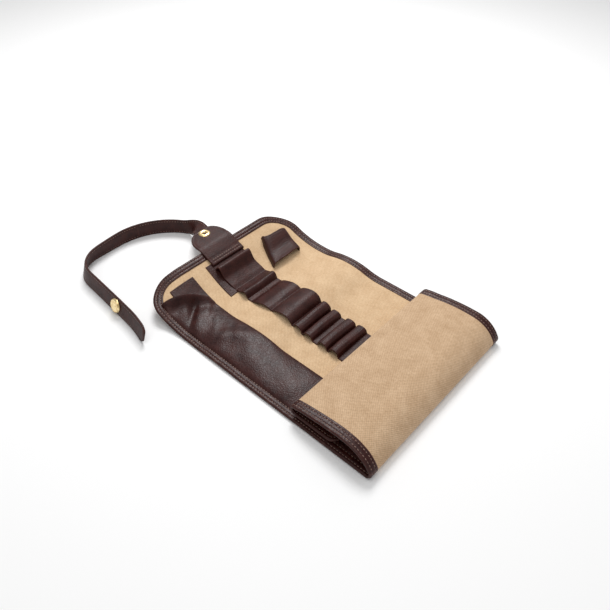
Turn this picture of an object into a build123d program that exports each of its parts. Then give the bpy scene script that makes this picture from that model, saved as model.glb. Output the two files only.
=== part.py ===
"""Canvas roll-up pencil wrap, half unrolled, with a leather strap and a snap fastener.

Frame, in millimetres: +X runs along the wrap from the strap end to the rolled end, +Y runs across
it to the accessory loop, +Z is up. The origin is the middle of the flat face under the rolled end.
"""
from build123d import *
from math import cos, radians, sin, tan
import os

os.makedirs("parts", exist_ok=True)

# Cloth and edge, across the wrap
HALF_WIDTH = 100.0
BINDING_WIDTH = 10.0
CANVAS = 1.0
LAYER_GAP = 0.05
SHEET = 2.0
BINDING = 2.8
CORNER_RADIUS = 34.0
CLOTH_EDGE = HALF_WIDTH - BINDING_WIDTH
ROLL_SHIFT = 3.0

# Shape of the wrap along its length
FLAP_END_X = -240.0
CURL_ANGLE = 24.0
CURL_RUN = 32.0
CURL_BEND = 44.0
DIP_RUN = 4.0
HUMP_ANGLE = 14.0
HUMP_SIDE = 18.0
HUMP_CREST = 44.0
EDGE_X = 47.3
EDGE_RADIUS = 5.67
EDGE_ANGLE = 120.0
CROWN_RADIUS = 30.0
CROWN_ANGLE = 60.0
TOP_RUN = 58.4
TOP_ANGLE = 12.0
FOLD_RADIUS = 5.9
FOLD_ANGLE = 168.0
TAIL_RUN = 44.0

# Folds, as lengths from the strap end, or as places along X
FLAP_FOLD = 22.0
FRONT_FOLD = 62.0
REAR_FOLD_X = -76.0
WALL_HEIGHT = 33.0
FOLD_CUT = 0.15
CREASE_CUT = 0.1

# Leather on the lining
LEATHER = 1.2
STRIP_LOW = -20.0
STRIP_HIGH = 24.0
POCKET_EDGE = -48.0
POCKET_HEIGHT = 6.2
POCKET_MOUTH = 35.0
MOUTH_HEIGHT = 7.6
LOOP_WIDTH = 12.6
LOOP_PITCH = 13.8
LOOP_HEIGHT = 6.8
FOLD_MARGIN = 3.0
ANCHOR_LOOP_HEIGHT = 7.4
SMALL_LOOP_HEIGHT = 6.5
WIDE_LOOP_HEIGHT = 7.2
WIDE_LOOP_WIDTH = 27.0
ACCESSORY_HEIGHT = 8.0
ACCESSORY_LOW = 42.0
ACCESSORY_HIGH = 80.0
TONGUE_LOW = -74.0
TONGUE_HIGH = -45.0
TAG_LOW = 44.0
TAG_HIGH = 66.0

# Closure tab, strap and snap
TAB_THICKNESS = 2.4
TAB_LOW = -19.0
TAB_HIGH = 25.0
TAB_END_X = -266.0
TAB_CREASE = -2.5
TAB_CORNER = 11.0
STRAP_WIDTH = 18.0
STRAP_THICKNESS = 2.4
STRAP_ROOT_X = TAB_END_X - 1.6
STRAP_GAP = 1.0
STRAP_LEAN = 18.0
TIP_RADIUS = 8.9
SNAP_X = -259.0
SNAP_Y = 4.0
SNAP_RADIUS = 8.0


class Chain:
    """A flat path of straight runs and arcs, each given as its length and the turn along it."""

    def __init__(self, start, heading, runs):
        self.pieces = []
        x, z = start
        s = 0.0
        for length, turn in runs:
            self.pieces.append((s, length, turn, x, z, heading))
            x, z, heading = self.along(length, length, turn, x, z, heading)
            s += length
        self.length = s

    @staticmethod
    def along(step, length, turn, x, z, heading):
        if turn == 0:
            return x + step * cos(radians(heading)), z + step * sin(radians(heading)), heading
        radius = length / radians(turn)
        after = heading + turn * step / length
        x += radius * (sin(radians(after)) - sin(radians(heading)))
        z -= radius * (cos(radians(after)) - cos(radians(heading)))
        return x, z, after

    def place(self, s, depth=0.0):
        """The point at a length along the path, moved to its left by a depth."""
        piece = self.pieces[0]
        for candidate in self.pieces:
            if candidate[0] <= s + 1e-9:
                piece = candidate
        s_from, length, turn, x, z, heading = piece
        x, z, heading = self.along(s - s_from, length, turn, x, z, heading)
        return x - depth * sin(radians(heading)), z + depth * cos(radians(heading))

    def follow(self, s_from, s_to, depth):
        """Draw the path's stretch between two lengths in the line being built."""
        low, high = min(s_from, s_to), max(s_from, s_to)
        stretches = []
        for s, length, turn, _, _, _ in self.pieces:
            a, b = max(low, s), min(high, s + length)
            if s == 0:
                a = low
            if b - a > 1e-6:
                stretches.append((a, b, turn))
        if s_from > s_to:
            stretches = [(b, a, turn) for a, b, turn in reversed(stretches)]
        for a, b, turn in stretches:
            if turn == 0:
                Line(self.place(a, depth), self.place(b, depth))
            else:
                ThreePointArc(self.place(a, depth), self.place((a + b) / 2, depth), self.place(b, depth))


# The wrap's outer face, from the strap end round into the roll
curl_radius = CURL_BEND / radians(CURL_ANGLE)
curl_height = CURL_RUN * sin(radians(CURL_ANGLE)) + curl_radius * (1 - cos(radians(CURL_ANGLE)))
front_runs = [
    (CURL_RUN, 0),
    (CURL_BEND, CURL_ANGLE),
    (DIP_RUN, 0),
    (HUMP_SIDE, HUMP_ANGLE),
    (HUMP_CREST, -2 * HUMP_ANGLE),
    (HUMP_SIDE, HUMP_ANGLE),
]
front = Chain((FLAP_END_X, curl_height), -CURL_ANGLE, front_runs)
hump_end_x = front.place(front.length)[0]
flat_run = EDGE_X - hump_end_x
roll_runs = [
    (flat_run, 0),
    (EDGE_RADIUS * radians(EDGE_ANGLE), EDGE_ANGLE),
    (CROWN_RADIUS * radians(CROWN_ANGLE), CROWN_ANGLE),
    (TOP_RUN, TOP_ANGLE),
    (FOLD_RADIUS * radians(FOLD_ANGLE), FOLD_ANGLE),
    (TAIL_RUN, 0),
]
wrap = Chain((FLAP_END_X, curl_height), -CURL_ANGLE, front_runs + roll_runs)

flat_start = front.length
rear_fold = flat_start + REAR_FOLD_X - hump_end_x
roll_fold_line = rear_fold + WALL_HEIGHT
roll_arc = flat_start + flat_run
crown_arc = roll_arc + EDGE_RADIUS * radians(EDGE_ANGLE)
fold_arc = crown_arc + CROWN_RADIUS * radians(CROWN_ANGLE) + TOP_RUN

# The roll is cut where the cloth has turned by an eighth, three, five and seven eighths of a turn
edge_cut = roll_arc + EDGE_RADIUS * radians(45)
top_cut = crown_arc + CROWN_RADIUS * radians(135 - EDGE_ANGLE)
fold_cut = fold_arc + FOLD_RADIUS * radians(225 - 180 - TOP_ANGLE)
tail_cut = fold_arc + FOLD_RADIUS * radians(315 - 180 - TOP_ANGLE)

# Each stretch of the wrap between two folds: its lengths and its shift across the wrap
stretches = {
    "flap": (0.0, FLAP_FOLD, 0.0),
    "front": (FLAP_FOLD, FRONT_FOLD, 0.0),
    "base": (FRONT_FOLD, rear_fold, 0.0),
    "rear": (rear_fold, roll_fold_line, 0.0),
    "roll_base": (roll_fold_line, edge_cut, 0.0),
    "roll_edge": (edge_cut, top_cut, ROLL_SHIFT / 2),
    "roll_top": (top_cut, fold_cut, ROLL_SHIFT),
    "roll_fold": (fold_cut, tail_cut, ROLL_SHIFT),
    "tail": (tail_cut, wrap.length, ROLL_SHIFT),
}


def add_sheet(s_from, s_to, low, high, y_from, y_to, mode=Mode.ADD):
    """Add a stretch of the wrap between two depths and two places across it."""
    with BuildSketch(Plane.XZ.offset(-y_to)) as section:
        with BuildLine():
            wrap.follow(s_from, s_to, low)
            Line(wrap.place(s_to, low), wrap.place(s_to, high))
            wrap.follow(s_to, s_from, high)
            Line(wrap.place(s_from, high), wrap.place(s_from, low))
        make_face()
    extrude(section.sketch, amount=y_to - y_from, mode=mode)


def add_arch(s_from, s_to, foot, height, wall, y_from, y_to):
    """Add a leather arch that stands on the lining between two seams."""
    middle = (s_from + s_to) / 2
    with BuildSketch(Plane.XZ.offset(-y_to)) as section:
        with BuildLine():
            ThreePointArc(wrap.place(s_from, foot), wrap.place(middle, foot + height), wrap.place(s_to, foot))
            Line(wrap.place(s_to, foot), wrap.place(s_to - wall, foot))
            ThreePointArc(
                wrap.place(s_to - wall, foot),
                wrap.place(middle, foot + height - wall),
                wrap.place(s_from + wall, foot),
            )
            Line(wrap.place(s_from + wall, foot), wrap.place(s_from, foot))
        make_face()
    extrude(section.sketch, amount=y_to - y_from)


def keep_rounded(half_width, end_x, radius, mode):
    """Trim to, or cut away, the wrap's outline seen from above, with its two rounded end corners."""
    far_x = EDGE_X
    with BuildSketch(Plane.XY.offset(-1)) as outline:
        with BuildLine():
            Line((far_x, -half_width), (end_x + radius, -half_width))
            RadiusArc((end_x + radius, -half_width), (end_x, -half_width + radius), radius)
            Line((end_x, -half_width + radius), (end_x, half_width - radius))
            RadiusArc((end_x, half_width - radius), (end_x + radius, half_width), radius)
            Line((end_x + radius, half_width), (far_x, half_width))
            Line((far_x, half_width), (far_x, -half_width))
        make_face()
    extrude(outline.sketch, amount=50, mode=mode)


def save(piece, name):
    piece.part.label = name
    export_step(piece.part, f"parts/{name}.step")


# Outer canvas, lining and leather binding, one of each for every stretch of the wrap
cloth_end_x = FLAP_END_X + BINDING_WIDTH
cloth_corner = CORNER_RADIUS - BINDING_WIDTH
for name, (s_from, s_to, shift) in stretches.items():
    at_end = name == "flap"
    at_tail = name == "tail"
    a = s_from if at_end else s_from + FOLD_CUT
    b = s_to if at_tail else s_to - FOLD_CUT
    cloth_a = a + (BINDING_WIDTH if at_end else 0)
    cloth_b = b - (BINDING_WIDTH if at_tail else 0)
    rounded = name in ("flap", "front")

    with BuildPart() as outer:
        add_sheet(a if rounded else cloth_a, cloth_b, 0, CANVAS, -CLOTH_EDGE + shift, CLOTH_EDGE + shift)
        if rounded:
            keep_rounded(CLOTH_EDGE, cloth_end_x, cloth_corner, Mode.INTERSECT)
    save(outer, f"outer_{name}")

    with BuildPart() as lining:
        add_sheet(
            a if rounded else cloth_a,
            cloth_b,
            CANVAS + LAYER_GAP,
            SHEET,
            -CLOTH_EDGE + shift,
            CLOTH_EDGE + shift,
        )
        if rounded:
            keep_rounded(CLOTH_EDGE, cloth_end_x, cloth_corner, Mode.INTERSECT)
    save(lining, f"lining_{name}")

    with BuildPart() as binding:
        if rounded:
            add_sheet(a, b, 0, BINDING, -HALF_WIDTH, HALF_WIDTH)
            keep_rounded(HALF_WIDTH, FLAP_END_X, CORNER_RADIUS, Mode.INTERSECT)
            keep_rounded(CLOTH_EDGE, cloth_end_x, cloth_corner, Mode.SUBTRACT)
        else:
            add_sheet(a, b, 0, BINDING, -HALF_WIDTH + shift, -CLOTH_EDGE + shift)
            add_sheet(a, b, 0, BINDING, CLOTH_EDGE + shift, HALF_WIDTH + shift)
            if at_tail:
                add_sheet(cloth_b, b, 0, BINDING, -HALF_WIDTH + shift, HALF_WIDTH + shift)
    save(binding, f"binding_{name}")

# Anchor patch that spreads the strap's pull, under the loop strip
PATCH = 1.0
with BuildPart() as anchor_patch:
    add_sheet(FLAP_FOLD + 1, FRONT_FOLD - 1, SHEET + LAYER_GAP, SHEET + PATCH, STRIP_LOW - 6, STRIP_HIGH)
save(anchor_patch, "anchor_patch")

# Wide loops and flat stretches of the leather loop strip
strip_foot = SHEET + LAYER_GAP
with BuildPart() as wide_loop_1:
    add_arch(
        FLAP_FOLD + 1.5,
        FRONT_FOLD - 4,
        strip_foot + PATCH,
        ANCHOR_LOOP_HEIGHT,
        LEATHER,
        STRIP_LOW,
        STRIP_HIGH,
    )
save(wide_loop_1, "wide_loop_1")

with BuildPart() as wide_loop_2:
    add_arch(
        FRONT_FOLD + 3,
        FRONT_FOLD + 18,
        strip_foot,
        SMALL_LOOP_HEIGHT,
        LEATHER,
        STRIP_LOW,
        STRIP_HIGH,
    )
save(wide_loop_2, "wide_loop_2")

narrow_start = rear_fold - FOLD_MARGIN - LOOP_WIDTH - LOOP_PITCH
wide_loop_start = narrow_start - 1 - WIDE_LOOP_WIDTH
with BuildPart() as wide_loop_3:
    add_arch(
        FRONT_FOLD + 19,
        wide_loop_start - 1,
        strip_foot,
        WIDE_LOOP_HEIGHT,
        LEATHER,
        STRIP_LOW,
        STRIP_HIGH,
    )
save(wide_loop_3, "wide_loop_3")

with BuildPart() as wide_loop_4:
    add_arch(
        wide_loop_start,
        narrow_start - 1,
        strip_foot,
        WIDE_LOOP_HEIGHT,
        LEATHER,
        STRIP_LOW,
        STRIP_HIGH,
    )
save(wide_loop_4, "wide_loop_4")

# Narrow pencil loops: two before the rear fold and two after it
loop_seams = [
    narrow_start,
    narrow_start + LOOP_PITCH,
    rear_fold + FOLD_MARGIN,
    rear_fold + FOLD_MARGIN + LOOP_PITCH,
]
for index, seam in enumerate(loop_seams):
    with BuildPart() as pencil_loop:
        add_arch(seam, seam + LOOP_WIDTH, strip_foot, LOOP_HEIGHT, LEATHER, STRIP_LOW, STRIP_HIGH)
    save(pencil_loop, f"pencil_loop_{index + 1}")

# The strip's end lies flat under the roll
with BuildPart() as strip_tail:
    add_sheet(roll_fold_line + 2, roll_arc - 30, strip_foot, strip_foot + LEATHER, STRIP_LOW, STRIP_HIGH)
save(strip_tail, "strip_tail")

# Long leather pocket along the -Y edge, clear of each fold it crosses
fold_room = POCKET_HEIGHT + 0.7
pocket_runs = {
    "pocket_mouth": (POCKET_MOUTH, FRONT_FOLD - fold_room, MOUTH_HEIGHT),
    "pocket_base": (FRONT_FOLD + fold_room, rear_fold - fold_room, POCKET_HEIGHT),
    "pocket_rear": (rear_fold + fold_room, roll_fold_line - fold_room, POCKET_HEIGHT),
}
for name, (s_from, s_to, height) in pocket_runs.items():
    with BuildPart() as pocket:
        add_sheet(s_from, s_to, strip_foot, strip_foot + height, -CLOTH_EDGE, POCKET_EDGE)
        add_sheet(
            s_from - 1,
            s_to + 1,
            strip_foot - 1,
            strip_foot + height - LEATHER,
            -CLOTH_EDGE + LEATHER,
            POCKET_EDGE - LEATHER,
            mode=Mode.SUBTRACT,
        )
    save(pocket, name)

with BuildPart() as pocket_end:
    add_sheet(roll_fold_line + 2, roll_arc - 4, strip_foot, strip_foot + LEATHER, -CLOTH_EDGE, POCKET_EDGE)
save(pocket_end, "pocket_end")

# Leather tongue sewn to the lining in front of the pocket's mouth
with BuildPart() as tongue:
    add_sheet(
        FLAP_FOLD + 1,
        POCKET_MOUTH - 0.5,
        strip_foot,
        strip_foot + LEATHER,
        TONGUE_LOW,
        TONGUE_HIGH,
    )
save(tongue, "tongue")

# Accessory loop, a leather tunnel along X
with BuildPart() as accessory_loop:
    add_sheet(
        FLAP_FOLD + 6,
        FRONT_FOLD - 6,
        strip_foot,
        strip_foot + ACCESSORY_HEIGHT,
        ACCESSORY_LOW,
        ACCESSORY_HIGH,
    )
    add_sheet(
        FLAP_FOLD + 5,
        FRONT_FOLD - 5,
        strip_foot - 1,
        strip_foot + ACCESSORY_HEIGHT - LEATHER,
        ACCESSORY_LOW + LEATHER,
        ACCESSORY_HIGH - LEATHER,
        mode=Mode.SUBTRACT,
    )
save(accessory_loop, "accessory_loop")

# Small woven tag on the flap's outer face, beside the end binding
with BuildPart() as side_tag:
    add_sheet(BINDING_WIDTH, BINDING_WIDTH + 11, -0.7, -LAYER_GAP, TAG_LOW, TAG_HIGH)
save(side_tag, "side_tag")

# Closure tab: its root is sewn to the flap, and beyond a crease at the flap's edge it lies level
root_low = wrap.place(FLAP_FOLD - 1, BINDING + LAYER_GAP)
root_high = wrap.place(FLAP_FOLD - 1, BINDING + LAYER_GAP + TAB_THICKNESS)
crease_x, tab_top_z = wrap.place(TAB_CREASE, BINDING + LAYER_GAP + TAB_THICKNESS)
tab_bottom_z = tab_top_z - TAB_THICKNESS
crease_slant = TAB_THICKNESS * tan(radians(CURL_ANGLE / 2))
with BuildPart() as tab_root:
    with BuildSketch(Plane.XZ.offset(-TAB_HIGH)):
        with BuildLine():
            Polyline(
                root_low,
                (crease_x + CREASE_CUT - crease_slant, tab_bottom_z),
                (crease_x + CREASE_CUT, tab_top_z),
                root_high,
                close=True,
            )
        make_face()
    extrude(amount=TAB_HIGH - TAB_LOW)
save(tab_root, "tab_root")

with BuildPart() as closure_tab:
    with BuildSketch(Plane.XZ.offset(-TAB_HIGH)):
        with BuildLine():
            Polyline(
                (crease_x - CREASE_CUT - crease_slant, tab_bottom_z),
                (TAB_END_X, tab_bottom_z),
                (TAB_END_X, tab_top_z),
                (crease_x - CREASE_CUT, tab_top_z),
                close=True,
            )
        make_face()
    extrude(amount=TAB_HIGH - TAB_LOW)
    outer_corners = closure_tab.edges().filter_by(Axis.Z).group_by(Axis.X)[0]
    fillet(outer_corners, TAB_CORNER)
    with BuildSketch(Plane.XY.offset(tab_bottom_z)):
        with Locations((SNAP_X, SNAP_Y)):
            Circle(2.0)
    extrude(amount=TAB_THICKNESS, mode=Mode.SUBTRACT)
save(closure_tab, "closure_tab")

# Snap post: a brass ring on the tab's upper face, with its barrel through the tab
EYELET_RADIUS = 6.4
with BuildPart() as snap_post:
    with BuildSketch(Plane.XZ.offset(-SNAP_Y)):
        with BuildLine():
            Polyline(
                (SNAP_X + 1.2, tab_bottom_z - 0.4),
                (SNAP_X + 2.0, tab_bottom_z - 0.4),
                (SNAP_X + 2.0, tab_top_z),
                (SNAP_X + EYELET_RADIUS, tab_top_z),
                (SNAP_X + EYELET_RADIUS, tab_top_z + 0.3),
            )
            ThreePointArc(
                (SNAP_X + EYELET_RADIUS, tab_top_z + 0.3),
                (SNAP_X + 4.2, tab_top_z + 1.2),
                (SNAP_X + 1.9, tab_top_z + 0.3),
            )
            Polyline(
                (SNAP_X + 1.9, tab_top_z + 0.3),
                (SNAP_X + 1.2, tab_top_z - 0.4),
                (SNAP_X + 1.2, tab_bottom_z - 0.4),
            )
        make_face()
    revolve(axis=Axis((SNAP_X, SNAP_Y, 0), (0, 0, 1)))
save(snap_post, "snap_post")

# Snap stud under the tab, which the socket clips over
with BuildPart() as snap_stud:
    with BuildSketch(Plane.XZ.offset(-SNAP_Y)):
        with BuildLine():
            Polyline(
                (SNAP_X + 2.05, tab_bottom_z - LAYER_GAP),
                (SNAP_X + 5.6, tab_bottom_z - LAYER_GAP),
                (SNAP_X + 5.6, tab_bottom_z - 0.9),
                (SNAP_X + 2.4, tab_bottom_z - 0.9),
            )
            ThreePointArc(
                (SNAP_X + 2.4, tab_bottom_z - 0.9),
                (SNAP_X + 3.2, tab_bottom_z - 2.2),
                (SNAP_X + 2.2, tab_bottom_z - 3.4),
            )
            Polyline(
                (SNAP_X + 2.2, tab_bottom_z - 3.4),
                (SNAP_X, tab_bottom_z - 3.4),
                (SNAP_X, tab_bottom_z - 0.9),
                (SNAP_X + 2.05, tab_bottom_z - 0.9),
                (SNAP_X + 2.05, tab_bottom_z - LAYER_GAP),
            )
        make_face()
    revolve(axis=Axis((SNAP_X, SNAP_Y, 0), (0, 0, 1)))
save(snap_stud, "snap_stud")

# The strap's route on the table, seen from above: it leaves the tab, swings out and turns back
ROUTE_START = (-303.0, 14.5)
ROUTE_HEADING = 207.0
route_runs = [(84.0, 64), (30.0, 0), (50.0, 85), (80.0, -1), (36.0, -14)]
route = Chain(ROUTE_START, ROUTE_HEADING, route_runs)
BEND_AT = 138.0


def add_standing_strap(s_from, s_to, upward=(0, 0, 1)):
    """Add the strap on its edge along a stretch of its route, its width following a direction."""
    with BuildSketch(Plane.XY) as section:
        with BuildLine():
            route.follow(s_from, s_to, -STRAP_THICKNESS / 2)
            Line(route.place(s_to, -STRAP_THICKNESS / 2), route.place(s_to, STRAP_THICKNESS / 2))
            route.follow(s_to, s_from, STRAP_THICKNESS / 2)
            Line(route.place(s_from, STRAP_THICKNESS / 2), route.place(s_from, -STRAP_THICKNESS / 2))
        make_face()
    extrude(section.sketch, amount=STRAP_WIDTH, dir=upward)


# Near the tab the strap lies flat, then turns onto its edge as it drops to the table, with its
# upper face turning toward -Y
route_ahead = (cos(radians(ROUTE_HEADING)), sin(radians(ROUTE_HEADING)), 0)
twist_stations = [
    ((STRAP_ROOT_X, 6.0, tab_top_z - TAB_THICKNESS / 2), (-1, 0, 0), 0),
    ((-276.5, 8.4, 24.9), (-1, 0.36, -0.35), -14),
    ((-284.0, 12.4, 20.2), (-1, 0.4, -0.6), -42),
    ((-292.5, 15.4, 13.4), (-1, 0.1, -0.5), -70),
    ((ROUTE_START[0], ROUTE_START[1], STRAP_WIDTH / 2), route_ahead, -90),
]
with BuildPart() as strap_run:
    for centre, ahead, roll in twist_stations:
        ahead_vector = Vector(*ahead).normalized()
        across = Vector(0, 0, 1).cross(ahead_vector).normalized()
        width_way = across.rotate(Axis((0, 0, 0), ahead_vector), roll)
        with BuildSketch(Plane(origin=centre, x_dir=width_way, z_dir=ahead_vector)):
            Rectangle(STRAP_WIDTH, STRAP_THICKNESS)
    loft(ruled=True)
    add_standing_strap(0, BEND_AT - STRAP_GAP)
save(strap_run, "strap_run")

# The strap's end leans in over the table, so that its outer face looks partly up
CAP_AT = route.length - 58.0
cap_x, cap_y = route.place(CAP_AT, 0)
ahead_x = route.place(CAP_AT + 1, 0)[0] - cap_x
ahead_y = route.place(CAP_AT + 1, 0)[1] - cap_y
outward = Vector(ahead_y, -ahead_x, 0).normalized()
lean_cos, lean_sin = cos(radians(STRAP_LEAN)), sin(radians(STRAP_LEAN))
lean_way = Vector(0, 0, 1) * lean_cos - outward * lean_sin
face_way = outward * lean_cos + Vector(0, 0, 1) * lean_sin
tip_x, tip_y = route.place(route.length, 0)
before_x, before_y = route.place(route.length - TIP_RADIUS, 0)
tip_ahead = Vector(tip_x - before_x, tip_y - before_y, 0).normalized()
tip_plane = Plane(
    origin=Vector(tip_x, tip_y, 0) + lean_way * (STRAP_WIDTH / 2),
    x_dir=tip_ahead,
    z_dir=tip_ahead.cross(lean_way),
)
start_x, start_y = route.place(BEND_AT + STRAP_GAP, 0)
after_x, after_y = route.place(BEND_AT + STRAP_GAP + 1, 0)
start_plane = Plane(
    origin=(start_x, start_y, 0),
    z_dir=Vector(after_x - start_x, after_y - start_y, 0).normalized(),
)
with BuildPart() as strap_end:
    add_standing_strap(BEND_AT + STRAP_GAP, route.length, lean_way)
    split(bisect_by=start_plane, keep=Keep.TOP)
    with BuildSketch(tip_plane) as tip_corners:
        with Locations((1 - TIP_RADIUS / 2, 0)):
            Rectangle(TIP_RADIUS + 2, 2 * STRAP_WIDTH)
        with Locations((-TIP_RADIUS, 0)):
            Circle(TIP_RADIUS, mode=Mode.SUBTRACT)
    extrude(tip_corners.sketch, amount=STRAP_WIDTH / 2, both=True, mode=Mode.SUBTRACT)
save(strap_end, "strap_end")

# Snap cap on the strap's outer face and its socket on the inner face
cap_centre = Vector(cap_x, cap_y, 0) + lean_way * (STRAP_WIDTH / 2)
off_centre = face_way * (STRAP_THICKNESS / 2 + LAYER_GAP)
cap_plane = Plane(origin=cap_centre + off_centre, x_dir=lean_way, z_dir=face_way)
socket_plane = Plane(origin=cap_centre - off_centre, x_dir=lean_way, z_dir=-face_way)
with BuildPart() as snap_cap:
    with BuildSketch(cap_plane):
        Circle(SNAP_RADIUS)
    extrude(amount=2.4, taper=28)
    fillet(snap_cap.edges().filter_by(GeomType.CIRCLE), 0.5)
save(snap_cap, "snap_cap")

with BuildPart() as snap_socket:
    with BuildSketch(socket_plane):
        Circle(6.0)
        Circle(3.4, mode=Mode.SUBTRACT)
    extrude(amount=2.2)
save(snap_socket, "snap_socket")

for label, s in (("flap", FLAP_FOLD), ("front", FRONT_FOLD), ("rear", rear_fold), ("roll", roll_fold_line)):
    x, z = wrap.place(s, BINDING)
    print("fold", label, round(s, 2), round(x, 3), round(z, 3))
for label, s in (
    ("roll_edge", stretches["roll_edge"][0]),
    ("roll_top", stretches["roll_top"][0]),
    ("roll_fold", stretches["roll_fold"][0]),
    ("tail", stretches["tail"][0]),
):
    x, z = wrap.place(s, 0)
    print("unroll", label, round(s, 2), round(x, 3), round(z, 3))
print("tab crease", round(crease_x, 3), round(tab_top_z, 3))
print("wrap length", round(wrap.length, 1), "strap route", round(route.length, 1))
print("bend", route.place(BEND_AT, 0), "tip", route.place(route.length, 0), "cap", cap_x, cap_y)
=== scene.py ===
"""Canvas roll-up pencil wrap, half unrolled, with a leather strap and a snap: the visual model.

Lengths are worked in millimetres and written to meshes in metres. A place on the wrap is given by
its length along it from the strap end, its place across it, and its depth in from the outer face.
"""
from collections import namedtuple
from math import cos, pi, radians, sin

import bmesh
import bpy
import numpy as np
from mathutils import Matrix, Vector


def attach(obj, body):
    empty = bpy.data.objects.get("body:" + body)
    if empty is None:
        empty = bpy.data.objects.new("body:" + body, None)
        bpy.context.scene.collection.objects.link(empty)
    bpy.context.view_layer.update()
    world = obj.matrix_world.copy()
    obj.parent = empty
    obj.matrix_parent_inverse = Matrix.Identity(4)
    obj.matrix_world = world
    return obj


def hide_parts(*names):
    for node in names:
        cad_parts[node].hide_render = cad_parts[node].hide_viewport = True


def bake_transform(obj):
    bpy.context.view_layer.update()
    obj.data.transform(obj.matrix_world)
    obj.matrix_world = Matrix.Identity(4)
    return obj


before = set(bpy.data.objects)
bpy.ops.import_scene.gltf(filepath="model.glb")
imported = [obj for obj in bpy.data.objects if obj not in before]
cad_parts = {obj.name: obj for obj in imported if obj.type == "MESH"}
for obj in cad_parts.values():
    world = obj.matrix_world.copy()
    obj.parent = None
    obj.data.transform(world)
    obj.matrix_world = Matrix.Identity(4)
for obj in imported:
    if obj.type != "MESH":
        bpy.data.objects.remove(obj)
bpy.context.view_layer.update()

MM = 0.001
FLAT_MAP = "flat"

# The wrap across, and its binding. The cloth is tucked a little way under the binding
HALF_WIDTH = 100.0
CORNER_RADIUS = 34.0
TAIL_CORNER = 9.0
BINDING_WIDTH = 10.0
TUCK = 3.0
STITCH_ROWS = (3.2, 7.4)
# The rolled end lies a little further toward +Y than the open part
ROLL_SHIFT = 3.0

# Layers, as depths in from the wrap's outer face
CANVAS_DEPTHS = (0.45, 1.2)
LINING_DEPTHS = (1.22, 2.0)
LEATHER = 1.2

# Leather on the lining, across the wrap
STRIP_LOW, STRIP_HIGH = -20.0, 24.0
POCKET_LOW, POCKET_HIGH = -92.0, -47.5
STRIP_FOOT = LINING_DEPTHS[1] + 0.05

# Lengths along the wrap: its folds, the arc where it turns back over itself, and the CAD's cuts
FLAP_FOLD = 22.0
FRONT_FOLD = 62.0
REAR_FOLD = 168.84
ROLL_FOLD = 201.84
ROLL_ARC = 292.14
EDGE_CUT = 296.59
TOP_CUT = 311.86
FOLD_CUT = 397.23
TAIL_CUT = 406.49
WRAP_LENGTH = 455.09
# Where one sheet of the visual model ends and the next begins, about midway between two folds
FLAP_END = 42.0
FRONT_END = 115.0
BASE_END = 185.0
REAR_END = 249.0
EDGE_END = 304.0
TOP_END = 354.0
FOLD_END = 401.8

# Closure tab and strap
TAB_LOW, TAB_HIGH = -19.0, 25.0
TAB_TOP = 27.91
TAB_THICKNESS = 2.4
TAB_ROOT_X = -219.5
TAB_CREASE_X = -240.15
TAB_NARROWS_X = -246.0
TAB_END_X = -266.5
STRAP_WIDTH = 18.0
STRAP_THICKNESS = 2.4
STRAP_LEAN = 18.0
STRAP_TIP_RADIUS = 9.0
STRAP_STITCH_INSET = 2.3
# The strap's two joints: on the tab, and on the table at its bend
STRAP_ROOT = (-266.0, 6.0, 24.0)
STRAP_ROOT_REACH = 9.0
STRAP_BEND = (-334.95, -105.69)
STRAP_BEND_REACH = 22.0


class Path:
    """A flat path of straight runs and arcs, each given as its length and the turn along it."""

    # It also runs straight back from its start by the lead, and is known at each step
    LEAD = 12.0
    STEP = 0.2

    def __init__(self, start, heading, runs):
        ahead = radians(heading)
        x = start[0] - self.LEAD * cos(ahead)
        z = start[1] - self.LEAD * sin(ahead)
        s = -self.LEAD
        places = [(s, x, z, ahead)]
        for length, turn in [(self.LEAD, 0.0)] + runs:
            steps = max(1, round(length / self.STEP))
            for k in range(1, steps + 1):
                along = length * k / steps
                if turn == 0:
                    places.append((s + along, x + along * cos(ahead), z + along * sin(ahead), ahead))
                    continue
                radius = length / radians(turn)
                after = ahead + along / radius
                there_x = x + radius * (sin(after) - sin(ahead))
                there_z = z - radius * (cos(after) - cos(ahead))
                places.append((s + along, there_x, there_z, after))
            s, x, z, ahead = places[-1]
        self.length = s
        self.s, self.x, self.z, self.heading = np.array(places).T

    def at(self, s):
        """X, Z and heading at lengths along the path."""
        return (
            np.interp(s, self.s, self.x),
            np.interp(s, self.s, self.z),
            np.interp(s, self.s, self.heading),
        )


# The strap end slopes down to the table at this angle and then curves level
CURL = 24.0
SLOPE_LENGTH = 32.0
CURL_LENGTH = 44.0
CURL_RADIUS = CURL_LENGTH / radians(CURL)
CURL_HEIGHT = SLOPE_LENGTH * sin(radians(CURL)) + CURL_RADIUS * (1 - cos(radians(CURL)))
# The wrap's outer face from the side: down the slope, over the hump, and round the roll to the tail
wrap = Path(
    (-240.0, CURL_HEIGHT),
    -CURL,
    [
        (SLOPE_LENGTH, 0),
        (CURL_LENGTH, CURL),
        (4, 0),
        (18, 14),
        (44, -28),
        (18, 14),
        (ROLL_ARC - 160, 0),
        (5.67 * radians(120), 120),
        (30 * radians(60), 60),
        (58.4, 12),
        (5.9 * radians(168), 168),
        (44, 0),
    ],
)
# The strap on the table from above, from where it has dropped from the tab to its tip
route = Path((-303.0, 14.5), 207.0, [(84.0, 64), (30.0, 0), (50.0, 85), (80.0, -1), (36.0, -14)])


def smooth(t):
    """An even step from 0 to 1."""
    t = np.clip(t, 0, 1)
    return t * t * (3 - 2 * t)


def window(s, low, high, soft):
    """1 between two lengths, fading to 0 outside them."""
    return smooth((s - low) / soft) * smooth((high - s) / soft)


HUMP_START, HUMP_LENGTH = 76.0, 88.0
DOME_HEIGHT = 2.6
DOME_MIDDLE = 10.0
# From the dome's middle down to the cloth by the -Y edge
DOME_FALL = 7.2


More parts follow.
